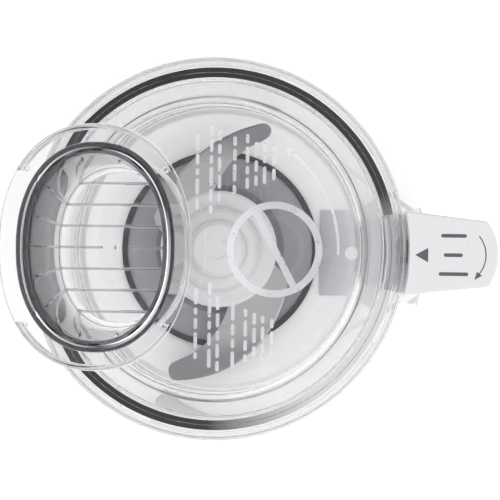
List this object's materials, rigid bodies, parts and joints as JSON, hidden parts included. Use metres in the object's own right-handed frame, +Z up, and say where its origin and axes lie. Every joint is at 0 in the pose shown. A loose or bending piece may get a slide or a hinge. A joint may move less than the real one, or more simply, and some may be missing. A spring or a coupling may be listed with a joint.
{
  "type": "food processor",
  "caption": "Food processor: clear round bowl and turning lid with an oval feed tube and hollow pusher, sickle blade on a drive spindle, white direct-drive motor base.",
  "frame": {"origin": "centre of the foot ring on the table, on the axis of bowl and spindle", "axes": "+Z up along the spindle, +X towards the bowl handle, +Y to the back where the cord outlet is"},
  "size_m": [0.2482, 0.2, 0.333],
  "materials": {
    "rubber": "matte",
    "base_white": "satin",
    "inner_white": "matte",
    "seat_grey": "satin",
    "dark_plastic": "matte",
    "lamination": "satin",
    "copper": "gloss",
    "cast_alloy": "cast",
    "zinc_steel": "satin",
    "bright_steel": "polished",
    "capacitor_case": "satin",
    "board_green": "satin",
    "clear_bowl": "clear plastic",
    "clear_lid": "clear plastic",
    "clear_tube": "clear plastic",
    "clear_pusher": "clear plastic",
    "handle_white": "satin",
    "rod_grey": "satin",
    "blade_steel": "ground",
    "hub_white": "satin"
  },
  "bodies": {
    "base": {"foot_ring": "rubber", "base_plate": "inner_white", "base_housing": "base_white", "base_screws": "zinc_steel", "seat_gasket": "rubber", "seat_plate": "seat_grey", "interlock_cover": "seat_grey", "stator_core": "lamination", "stator_windings": "copper", "lower_bracket": "cast_alloy", "upper_bracket": "cast_alloy", "through_bolts": "zinc_steel", "motor_mounts": "rubber", "mount_screws": "zinc_steel", "shaft_bearings": "bright_steel", "shaft_seal": "rubber", "run_capacitor": "capacitor_case", "control_board": "board_green", "safety_switch": "dark_plastic", "strain_relief": "rubber"},
    "plunger": {"switch_plunger": "rod_grey"},
    "spindle": {"drive_spindle": "bright_steel", "rotor_core": "lamination", "rotor_cage": "cast_alloy", "cooling_fan": "dark_plastic", "drive_coupling": "bright_steel"},
    "bowl": {"bowl": "clear_bowl", "handle_grip": "handle_white", "handle_cover": "handle_white", "handle_screws": "zinc_steel", "rod_spring": "bright_steel"},
    "rod": {"interlock_rod": "rod_grey"},
    "lid": {"lid_disc": "clear_lid", "feed_tube": "clear_tube"},
    "pusher": {"pusher": "clear_pusher"},
    "blade": {"blade_hub": "hub_white", "blade_lower": "blade_steel", "blade_upper": "blade_steel", "hub_cap": "hub_white", "hub_insert": "seat_grey"}
  },
  "joints": [
    {"name": "spindle_spin", "type": "hinge", "parent": "base", "child": "spindle", "pos_m": [0, 0, 0.1], "axis": [0, 0, 1], "continuous": true},
    {"name": "bowl_lift", "type": "slide", "parent": "base", "child": "bowl", "axis": [0, 0, 1], "range_m": [0, 0.13]},
    {"name": "blade_spin", "type": "hinge", "parent": "bowl", "child": "blade", "pos_m": [0, 0, 0.15], "axis": [0, 0, 1], "continuous": true},
    {"name": "lid_turn", "type": "hinge", "parent": "bowl", "child": "lid", "pos_m": [0, 0, 0.23], "axis": [0, 0, 1], "range_deg": [-32, 0]},
    {"name": "rod_slide", "type": "slide", "parent": "bowl", "child": "rod", "axis": [0, 0, 1], "range_m": [0, 0.004], "deforming": ["rod_spring"]},
    {"name": "plunger_slide", "type": "slide", "parent": "base", "child": "plunger", "axis": [0, 0, 1], "range_m": [0, 0.003]},
    {"name": "pusher_slide", "type": "slide", "parent": "lid", "child": "pusher", "axis": [0, 0, 1], "range_m": [0, 0.105]}
  ],
  "couplings": [
    {"joint": "blade_spin", "follows": "spindle_spin", "ratio": 1},
    {"joint": "rod_slide", "follows": "lid_turn", "m_per_rad": -0.00716},
    {"joint": "plunger_slide", "follows": "lid_turn", "m_per_rad": -0.00537}
  ]
}
